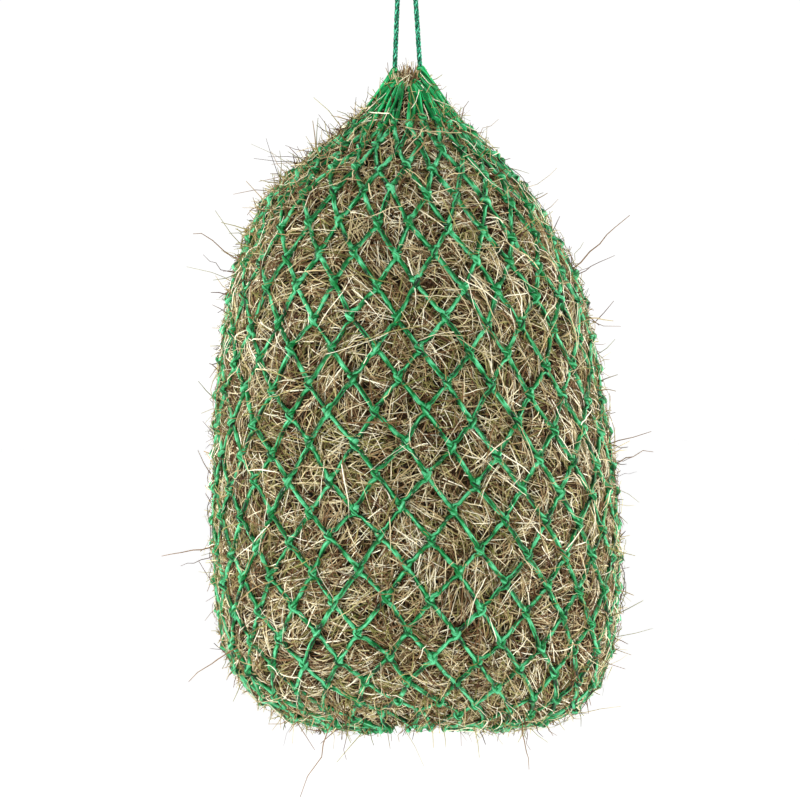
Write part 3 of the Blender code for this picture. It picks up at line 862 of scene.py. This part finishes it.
def make_neck_cord():
    gather = Gather()
    t = np.linspace(0, 4 * pi, 110, endpoint=False)
    line = neck_rim(t, 0.0004 + 0.0012 * np.sin(t / 2), -0.0030 + 0.0024 * np.sin(t / 2))
    # the upper half of the uv square gives the lighter tone of the braid's painted light and shade
    gather.strand(line, 0.0022, 10, closed=True, lobes=4, lobe=0.07, pitch=0.011, v_span=(0.52, 0.98))
    ob = gather.made("neck_drawcord_turns", CORD)
    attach(ob, "net")
    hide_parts("neck_drawcord")


# ---- hay
SEGMENTS = 6  # spans of each blade that lies on the bag
STEM_SHAKE = 0.00028  # crumpling of its centreline
BAND_DEPTH = 0.0033  # each of the four shades of the hay covers this much depth
ROUND_SHARE = 0.46  # radius of a round stem for each metre of a blade's width
LANE = 0.001  # step in u between the three sides of a round stem


def read_field(field, azimuth, share):
    a = (azimuth / TURN % 1) * field.shape[0]
    s = np.clip(share, 0, 0.9999) * (field.shape[1] - 1)
    i, j = a.astype(int) % field.shape[0], s.astype(int)
    fa, fs = eased((a - a.astype(int))[:, None]), eased((s - j)[:, None])
    i2, j2 = (i + 1) % field.shape[0], np.minimum(j + 1, field.shape[1] - 1)
    return between(field, i, j, i2, j2, fa, fs)


field_rng = rng_for("hay fields")
GRAIN, CHAOS, TINT = (field_rng.normal(0, 1, cells) for cells in ((38, 26, 2), (46, 32, 1), (30, 20, 2)))


def pick_places(rng, count):
    """Azimuths and shares spread evenly over the bag's area."""
    chosen = []
    while sum(len(c[0]) for c in chosen) < count:
        azimuth, share = rng.uniform(0, TURN, count), rng.uniform(0.012, 0.995, count)
        metric, total = bag.reach(azimuth, share)
        keep = rng.uniform(0, 1, count) < metric * total / 0.24
        chosen.append((azimuth[keep], share[keep]))
    return (np.concatenate([c[k] for c in chosen])[:count] for k in (0, 1))


def stem_colours(rng, azimuth, share, pale=0.0):
    """u of each stem: mostly straw and tan, with patches of green leaf and of brown."""
    tint = read_field(TINT, azimuth, share)
    u = np.clip(0.38 + 0.23 * rng.normal(0, 1, len(azimuth)) + pale, 0.03, 0.66)
    green = rng.uniform(0, 1, len(azimuth)) < 0.17 + 0.12 * tint[:, 0]
    brown = rng.uniform(0, 1, len(azimuth)) < 0.21 + 0.10 * tint[:, 1]
    u = np.where(brown, rng.uniform(0.02, 0.20, len(azimuth)), u)
    return np.where(green & ~brown, rng.uniform(0.74, 0.97, len(azimuth)), u)


def blade_uvs(u, band, s, lanes, left, right):
    """Corner uvs of blades with s points along and some lanes round, and the v of each point along."""
    uv = np.empty((len(u), s - 1, lanes, 4, 2))
    v = (band[:, None] * 0.25 + 0.005 + 0.24 * np.linspace(0, 1, s)[None])[:, :, None]
    lane_u = u[:, None, None] + (np.arange(lanes) * LANE)[None, None]
    uv[..., 0, 0] = uv[..., 3, 0] = lane_u + left
    uv[..., 1, 0] = uv[..., 2, 0] = lane_u + right
    uv[..., 0, 1] = uv[..., 1, 1] = v[:, :-1]
    uv[..., 2, 1] = uv[..., 3, 1] = v[:, 1:]
    return uv.reshape(-1, 2), v[:, :, 0]


def ribbons(centre, across, width, u, band):
    """Flat blades: centre (n, s, 3), across (n, s, 3), width (n, s)."""
    n, s, _ = centre.shape
    points = np.stack([centre - across * width[..., None] / 2, centre + across * width[..., None] / 2], 2)
    base = (np.arange(n) * s * 2)[:, None]
    k = np.arange(s - 1)[None] * 2
    quads = np.stack([base + k, base + k + 1, base + k + 3, base + k + 2], -1).reshape(-1, 4)
    return points.reshape(-1, 3), quads, blade_uvs(u, band, s, 1, -0.0015, 0.0015)[0]


def stems(centre, side, other, radius, u, band):
    """Round stems with three sides and closed ends: centre (n, s, 3), radius (n, s)."""
    n, s, _ = centre.shape
    points = np.stack([centre + (side * cos(a) + other * sin(a)) * radius[..., None]
                       for a in (0, TURN / 3, 4 * pi / 3)], 2)
    base = (np.arange(n) * s * 3)[:, None, None]
    k = (np.arange(s - 1) * 3)[None, :, None]
    j = np.arange(3)[None, None]
    j2 = (j + 1) % 3
    quads = np.stack([base + k + j, base + k + j2, base + k + 3 + j2, base + k + 3 + j], -1).reshape(-1, 4)
    uv, v = blade_uvs(u, band, s, 3, -0.0015, -0.0005)
    first = base[:, 0, 0]
    caps = np.concatenate([np.stack([first + 2, first + 1, first], -1),
                           np.stack([first + (s - 1) * 3 + i for i in range(3)], -1)])
    cap_uv = np.stack([np.tile(u, 2), np.concatenate([v[:, 0], v[:, -1]])], -1)
    cap_uv = np.repeat(cap_uv[:, None], 3, 1) + np.array([[0, 0], [LANE, 0], [0, LANE]])[None]
    return points.reshape(-1, 3), quads, uv, caps, cap_uv.reshape(-1, 2)


def cross_directions(centre, hint, twist):
    """Side directions of each blade from a hint roughly outward, turned by twist."""
    tangent = unit(np.gradient(centre, axis=1))
    side = unit(np.cross(tangent, hint))
    up = np.cross(side, tangent)
    c, s = np.cos(twist)[..., None], np.sin(twist)[..., None]
    return side * c + up * s, up * c - side * s


def grass(name, leaf, centre, side, up, width, radius, u, band):
    """One mesh on the net's body: ribbons where leaf is true, round stems elsewhere."""
    stalk = ~leaf
    gather = Gather()
    gather.add(*ribbons(centre[leaf], side[leaf], width[leaf], u[leaf], band[leaf]))
    gather.add(*stems(centre[stalk], side[stalk], up[stalk], radius[stalk], u[stalk], band[stalk]))
    ob = gather.made(name, HAY)
    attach(ob, "net")
    return ob


def lay_on_bag(azimuth, share, length, angle, curl, offset, arch, tilt):
    """Centrelines that run over the bag's swelling surface."""
    t = np.linspace(-0.5, 0.5, SEGMENTS + 1)[None]
    s = t * length[:, None]
    heading = angle[:, None] + curl[:, None] * s
    step = length[:, None] / SEGMENTS
    x, y = np.cumsum(np.cos(heading) * step, 1), np.cumsum(np.sin(heading) * step, 1)
    mid = SEGMENTS // 2
    x, y = x - x[:, mid:mid + 1], y - y[:, mid:mid + 1]
    metric, total = bag.reach(azimuth, share)
    az = azimuth[:, None] + x / np.maximum(metric, 0.012)[:, None]
    sh = np.clip(share[:, None] + y / total[:, None], 0.004, 0.998)
    place, out = bag.point(az, sh), bag.outward(az, sh)
    height = offset[:, None] + bulge(az, sh) + arch[:, None] * (4 * t * t) + tilt[:, None] * s
    return place + out * height[..., None], out


def hay_layer(name, count, depth, width, length, seed_pale, solid_share, arch=0.0016, tilt=0.05, shares=None):
    """One layer of hay: leaves as ribbons and stalks as thin tubes, all over the bag or between two shares."""
    rng = rng_for(name)
    azimuth, share = pick_places(rng, count)
    if shares:
        share = rng.uniform(*shares, count)
    grain = read_field(GRAIN, azimuth, share)
    chaos = np.clip(0.90 + 0.40 * read_field(CHAOS, azimuth, share)[:, 0], 0.25, 1.6)
    angle = 0.5 * np.arctan2(grain[:, 1], grain[:, 0]) + pi / 2 + rng.normal(0, 1, count) * chaos
    size = rng.uniform(*length, count) * rng.uniform(0.6, 1.0, count)
    inside = rng.uniform(*depth, count)
    centre, out = lay_on_bag(azimuth, share, size, angle, rng.normal(0, 3.5, count), -inside,
                             rng.normal(0, arch, count), rng.normal(0, tilt, count))
    centre = centre + rng.normal(0, STEM_SHAKE, centre.shape)
    u = stem_colours(rng, azimuth, share, seed_pale)
    # deeper blades take darker bands of painted shade
    band = np.clip((inside - 0.0004) / BAND_DEPTH, 0, 3).astype(int)
    twist, more = rng.uniform(-0.9, 0.9, (count, 1)), rng.uniform(-0.9, 0.9, (count, 1))
    twist = twist + more * np.linspace(-1, 1, SEGMENTS + 1)
    side, up = cross_directions(centre, out, twist)
    taper = 1 - 0.75 * np.abs(np.linspace(-0.6, 1, SEGMENTS + 1))[None] ** 2.5
    wide = rng.uniform(*width, count)[:, None] * taper
    leaf = rng.uniform(0, 1, count) >= solid_share
    radius = np.broadcast_to(wide.mean(1, keepdims=True) * ROUND_SHARE, wide.shape)
    ob = grass(name, leaf, centre, side, up, wide, radius, u, band)


def free_stems(name, foot, direction, length, droop, kink, radius, u, rng, leafy=0.4, steps=8, jogs=0.012):
    """Stems that stick out into the air: straight lines with a droop, a bend or two and thin tips."""
    n = len(foot)
    t = np.linspace(0, 1, steps)[None]
    direction = unit(direction)
    turn = rng.normal(0, 1, (n, 3))
    turn -= direction * (turn * direction).sum(1, keepdims=True)
    line = foot[:, None] + direction[:, None] * (length[:, None] * t)[..., None]
    line = line + turn[:, None] * (kink[:, None] * length[:, None] * (t ** 2))[..., None]
    line[..., 2] -= droop[:, None] * length[:, None] * t ** 2
    line = line + rng.normal(0, 1, (n, steps, 3)) * (jogs * length[:, None] * np.minimum(t * 3, 1))[..., None]
    line = np.clip(line, LOW_LIMIT, HIGH_LIMIT)
    twist = rng.uniform(-3, 3, (n, 1)) + np.zeros((1, steps))
    side, up = cross_directions(line, np.broadcast_to((0.1, -1.0, 0.15), line.shape), twist * 0.25)
    thin = radius[:, None] * (1 - 0.6 * t ** 1.5)
    return grass(name, rng.uniform(0, 1, n) < leafy, line, side, up, 2.2 * thin, thin, u, np.zeros(n, int))


# stray stems stay inside the CAD box and the room allowed round it, with a small reserve
ROOM = 0.03 * (np.array(cad_high) - np.array(cad_low)) + 0.010 - 0.0015
LOW_LIMIT, HIGH_LIMIT = np.array(cad_low) - ROOM, np.array(cad_high) + ROOM


def make_hay_core():
    """The closed, lumpy body of packed hay under the loose layers."""
    rng = rng_for("core")
    around, down = 200, 260
    azimuth = np.repeat(np.linspace(0, TURN, around, endpoint=False), down + 1)
    share = np.tile(np.linspace(0.045, 0.999, down + 1), around)
    place, out = bag.point(azimuth, share), bag.outward(azimuth, share)
    lumps = rng.normal(0, 0.0009, len(azimuth))
    near_neck = np.clip(share / 0.10, 0.25, 1)
    height = (bulge(azimuth, share) - 0.0105) * near_neck + lumps
    points = place + out * height[:, None]
    top, bottom = points[::down + 1].mean(0), points[down::down + 1].mean(0)
    points = np.vstack([points, top, bottom])
    i, j = np.meshgrid(np.arange(around), np.arange(down), indexing="ij")
    corners = ((0, 0), (0, 1), (1, 1), (1, 0))
    quads = np.stack([(i + a) % around * (down + 1) + j + b for a, b in corners], -1)
    uv = np.stack([np.stack([(i + a) / around, (j + b) / down], -1) for a, b in corners], 2)
    k = np.arange(around)
    k2 = (k + 1) % around
    tips = np.vstack([np.stack([k * (down + 1), k2 * (down + 1), np.full(around, len(points) - 2)], -1),
                      np.stack([k2 * (down + 1) + down, k * (down + 1) + down, np.full(around, len(points) - 1)], -1)])
    tip_uv = np.tile([[0.001, 0.001], [0.003, 0.001], [0.001, 0.003]], (2 * around, 1))
    ob = new_mesh("hay_core", points, [tips, quads.reshape(-1, 4)], CORE, np.vstack([tip_uv, uv.reshape(-1, 2)]))
    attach(ob, "net")
    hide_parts(*[f"hay_flake_{k}" for k in range(1, 8)])


def make_hay_layers():
    for k in range(3):
        hay_layer(f"hay_deep_{k + 1}", 7500, (0.0055, 0.0125), (0.0011, 0.0022), (0.030, 0.085), -0.04, 0.10)
    for k in range(4):
        hay_layer(f"hay_middle_{k + 1}", 7400, (0.0010, 0.0062), (0.0007, 0.0014), (0.022, 0.080), 0.03, 0.25)
    for k in range(3):
        hay_layer(f"hay_outer_{k + 1}", 5400, (-0.0020, 0.0020), (0.0007, 0.0014), (0.018, 0.068), 0.10, 0.45,
                  arch=0.0022, tilt=0.09)
    hay_layer("hay_over_net", 1500, (-0.0080, -0.0046), (0.0008, 0.0014), (0.025, 0.085), 0.16, 0.50,
              arch=0.0026, tilt=0.04)
    hay_layer("hay_over_neck", 95, (-0.0105, -0.0070), (0.0011, 0.0019), (0.030, 0.062), 0.24, 0.60,
              arch=0.0012, tilt=0.06, shares=(0.035, 0.15))


def shaded_colours(rng, count, dull):
    """Colours of loose bits, kept dark as painted shade: brown, tan or leafy, never the palest straw."""
    pick = rng.uniform(0, 1, count)
    tan = np.where(rng.uniform(0, 1, count) < 0.52, rng.uniform(0.22, 0.50, count), rng.uniform(0.74, 0.95, count))
    return np.where(pick < dull, rng.uniform(0.04, 0.20, count), tan)


def standing(rng, azimuth, share, steep, back):
    """Feet and directions of bits that stand off the bag, steep in radians from its surface."""
    place, across, down, out = bag.frame(azimuth, share)
    angle = rng.uniform(0, TURN, len(azimuth))
    flat = across * np.cos(angle)[:, None] + down * np.sin(angle)[:, None]
    direction = flat * np.cos(steep)[:, None] + out * np.sin(steep)[:, None]
    return place - direction * np.asarray(back)[:, None], direction


def make_fuzz():
    """Short loose bits all over, thickest on the left shoulder and round the foot, and some longer strays."""
    rng = rng_for("fuzz")
    n, shoulder = 22000, 1300
    azimuth, share = pick_places(rng, n)
    azimuth[:shoulder] = rng.normal(1.5 * pi, 0.40, shoulder)
    share[:shoulder] = rng.uniform(0.05, 0.34, shoulder)
    left = 0.5 - 0.5 * np.sin(azimuth)
    ragged = 0.26 + 0.9 * left * np.exp(-((share - 0.14) / 0.11) ** 2) + 0.55 * np.exp(-((share - 0.87) / 0.07) ** 2)
    clumps = 0.75 + 0.55 * read_field(CHAOS, azimuth, share)[:, 0]
    keep = rng.uniform(0, 1, n) < (ragged + 0.12) * np.clip(clumps, 0.25, 2)
    azimuth, share, ragged = azimuth[keep], share[keep], ragged[keep]
    n = len(azimuth)
    length = 0.005 + rng.gamma(1.7, 0.0040, n).clip(0, 0.017) * (0.62 + 0.42 * ragged)
    foot, direction = standing(rng, azimuth, share, rng.beta(1.4, 1.9, n) * 1.3 + 0.05, 0.28 * length)
    ob = free_stems("hay_fuzz", foot, direction, length * 1.3, rng.uniform(-0.05, 0.15, n), rng.normal(0, 0.6, n),
                    rng.uniform(0.00050, 0.00090, n), shaded_colours(rng, n, 0.26), rng, 0.45, 5, 0.055)

    n, by_neck = 120, 30
    azimuth, share = pick_places(rng, n)
    azimuth[:by_neck], share[:by_neck] = rng.uniform(0.3, 1.9, by_neck), rng.uniform(0.025, 0.12, by_neck)
    length = rng.uniform(0.022, 0.055, n)
    foot, direction = standing(rng, azimuth, share, rng.uniform(0.15, 1.1, n), 0.25 * length)
    ob = free_stems("hay_strays", foot, direction, length, rng.uniform(0.0, 0.25, n), rng.normal(0, 0.35, n),
                    rng.uniform(0.00035, 0.00055, n), shaded_colours(rng, n, 0.42), rng, 0.15, 6, 0.050)


def make_named_stalks():
    """The longest stalks, each where the CAD holds one."""
    for name in [k for k in nodes if k.startswith("stalk_")]:
        rng = rng_for(name)
        mesh = nodes[name].data
        points = np.array([nodes[name].matrix_world @ v.co for v in mesh.vertices])
        centre = np.array([0.0, 0.0, (points[:, 2].min() + points[:, 2].max()) / 2])
        near = norm((points - centre) * (1, 1, 0.4), axis=1)
        foot, tip = points[near < near.min() + 0.004].mean(0), points[near > near.max() - 0.004].mean(0)
        reach = tip - foot
        n = 4
        spread = rng.normal(0, 1, (n, 3)) * 0.16 * norm(reach)
        spread[0] = 0
        lengths = norm(reach) * np.array([1.35, 0.9, 0.7, 0.6]) * 1.15
        start = np.tile(foot - reach * 0.30, (n, 1)) + rng.normal(0, 0.004, (n, 3))
        ob = free_stems(name + "_dry", start, reach + spread, lengths, np.array([0.05, 0.1, 0.0, 0.12]),
                        rng.normal(0, 0.20, n), np.array([0.0010, 0.0007, 0.0006, 0.0006]),
                        np.array([0.20, 0.10, 0.84, 0.14]), rng, 0.0, 8, 0.020)
        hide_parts(name)


def make_tuft():
    """Stalk ends packed into the neck; the tallest stand up between the drawcord's two legs."""
    rng = rng_for("tuft")
    n = 400
    angle, radius = rng.uniform(0, TURN, n), np.sqrt(rng.uniform(0, 1, n))
    foot = np.column_stack([0.0125 * radius * np.cos(angle), 0.0095 * radius * np.sin(angle),
                            NECK_Z - rng.uniform(0.040, 0.058, n)])
    top = np.column_stack([0.0158 * radius * np.cos(angle), 0.0095 * radius * np.sin(angle),
                           NECK_Z - 0.005 + rng.gamma(1.4, 0.0048, n).clip(0, 0.024) * (1 - 0.30 * radius)])
    top[:, :2] += rng.normal(0, 0.0042, (n, 2)) * (1, 0.6)
    direction = top - foot
    u = np.where(rng.uniform(0, 1, n) < 0.55, rng.uniform(0.06, 0.26, n), rng.uniform(0.28, 0.60, n))
    ob = free_stems("hay_tuft_stems", foot, direction, norm(direction, axis=1), rng.uniform(-0.02, 0.02, n),
                    rng.normal(0, 0.07, n), rng.uniform(0.0005, 0.0011, n), u, rng, 0.2, 6, 0.014)
    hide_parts("hay_tuft")


def make_base_ends():
    """Stalk ends that show in the eye of the cord that closes the base."""
    rng = rng_for("base ends")
    low, high = (np.array(corner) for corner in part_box("base_cord"))
    centre = (low + high) / 2
    n = 620
    angle, radius = rng.uniform(0, TURN, n), 0.0150 * np.sqrt(rng.uniform(0, 1, n))
    ring = np.column_stack([radius * np.cos(angle), radius * np.sin(angle), np.zeros(n)])
    foot = centre + ring + (0, 0, 0.016)
    tip = centre + 0.78 * ring + rng.normal(0, 1, (n, 3)) * (0.0046, 0.0046, 0) + (0, 0, -0.0005)
    tip[:, 2] -= rng.gamma(1.4, 0.0016, n).clip(0, 0.007)
    direction = tip - foot
    ob = free_stems("hay_base_ends", foot, direction, norm(direction, axis=1), np.zeros(n),
                    rng.normal(0, 0.16, n), rng.uniform(0.0005, 0.0009, n), shaded_colours(rng, n, 0.3), rng,
                    0.3, 7, 0.03)


# ---- the ring, and the stage


def finish_ring():
    ring = nodes["hanging_ring"]
    for slot_ in ring.material_slots:
        slot_.material = STEEL
    for poly in ring.data.polygons:
        poly.use_smooth = True


def make_stage():
    n = Nodes("studio_white")
    n.set(Base_Color=(0.93, 0.93, 0.93, 1), Roughness=0.95, Specular_IOR_Level=0.1, Emission_Color=(1, 1, 1, 1),
          Emission_Strength=0.375)
    rings, spokes, floor_z = (0.0, 1.5, 4.0, 9.0, 18.0, 40.0), 48, -1.55
    points = [(r * sin(a), -r * cos(a), floor_z)
              for r in rings[1:] for a in np.linspace(0, TURN, spokes, endpoint=False)] + [(0, 0, floor_z)]
    k, k2 = np.arange(spokes), (np.arange(spokes) + 1) % spokes
    middle = np.stack([np.full(spokes, len(points) - 1), k, k2], -1)
    around = np.vstack([np.stack([r * spokes + k, (r + 1) * spokes + k, (r + 1) * spokes + k2, r * spokes + k2], -1)
                        for r in range(len(rings) - 2)])
    new_mesh("studio_floor", points, [middle, around], n.owner)


def area_light(name, place, target, width, height, power):
    data = bpy.data.lights.new(name, "AREA")
    data.shape, data.size, data.size_y, data.energy = "RECTANGLE", width, height, power
    light = put(name, data, place, (Vector(target) - Vector(place)).to_track_quat("-Z", "Y"))
    light.visible_camera = False


def make_lights():
    bpy.context.scene.view_settings.view_transform = "Standard"
    n = Nodes("studio", "worlds", "Background")
    split = n.new("SeparateXYZ", {0: n.new("TexCoord").outputs["Generated"]})
    # bright behind and above, half as bright on the camera's side
    fades = [n.new("MapRange", {"From Min": start, "From Max": end, "To Min": 0.42, "To Max": 1.03,
                                "Value": split.outputs[axis]}).outputs["Result"]
             for axis, start, end in (("Y", -0.1, 0.5), ("Z", 0.36, 0.14))]
    most = n.new("Math", dict(enumerate(fades)), operation="MAXIMUM")
    n.set(Strength=most.outputs[0], Color=(1.0, 1.0, 1.0, 1))
    bpy.context.scene.world = n.owner
    middle = (0, 0, -0.65)
    area_light("key", (-1.3, -2.8, 0.7), middle, 0.8, 0.8, 47)
    area_light("left_edge", (-1.9, 0.1, -0.3), middle, 0.7, 1.8, 34)
    area_light("right_edge", (2.0, 0.1, -0.4), middle, 0.7, 1.8, 47)


make_knot()
make_cords()
make_neck_cord()
make_courses()
make_neck_loops()
make_base()
make_hay_core()
make_hay_layers()
make_fuzz()
make_named_stalks()
make_tuft()
make_base_ends()
finish_ring()
make_stage()
make_lights()
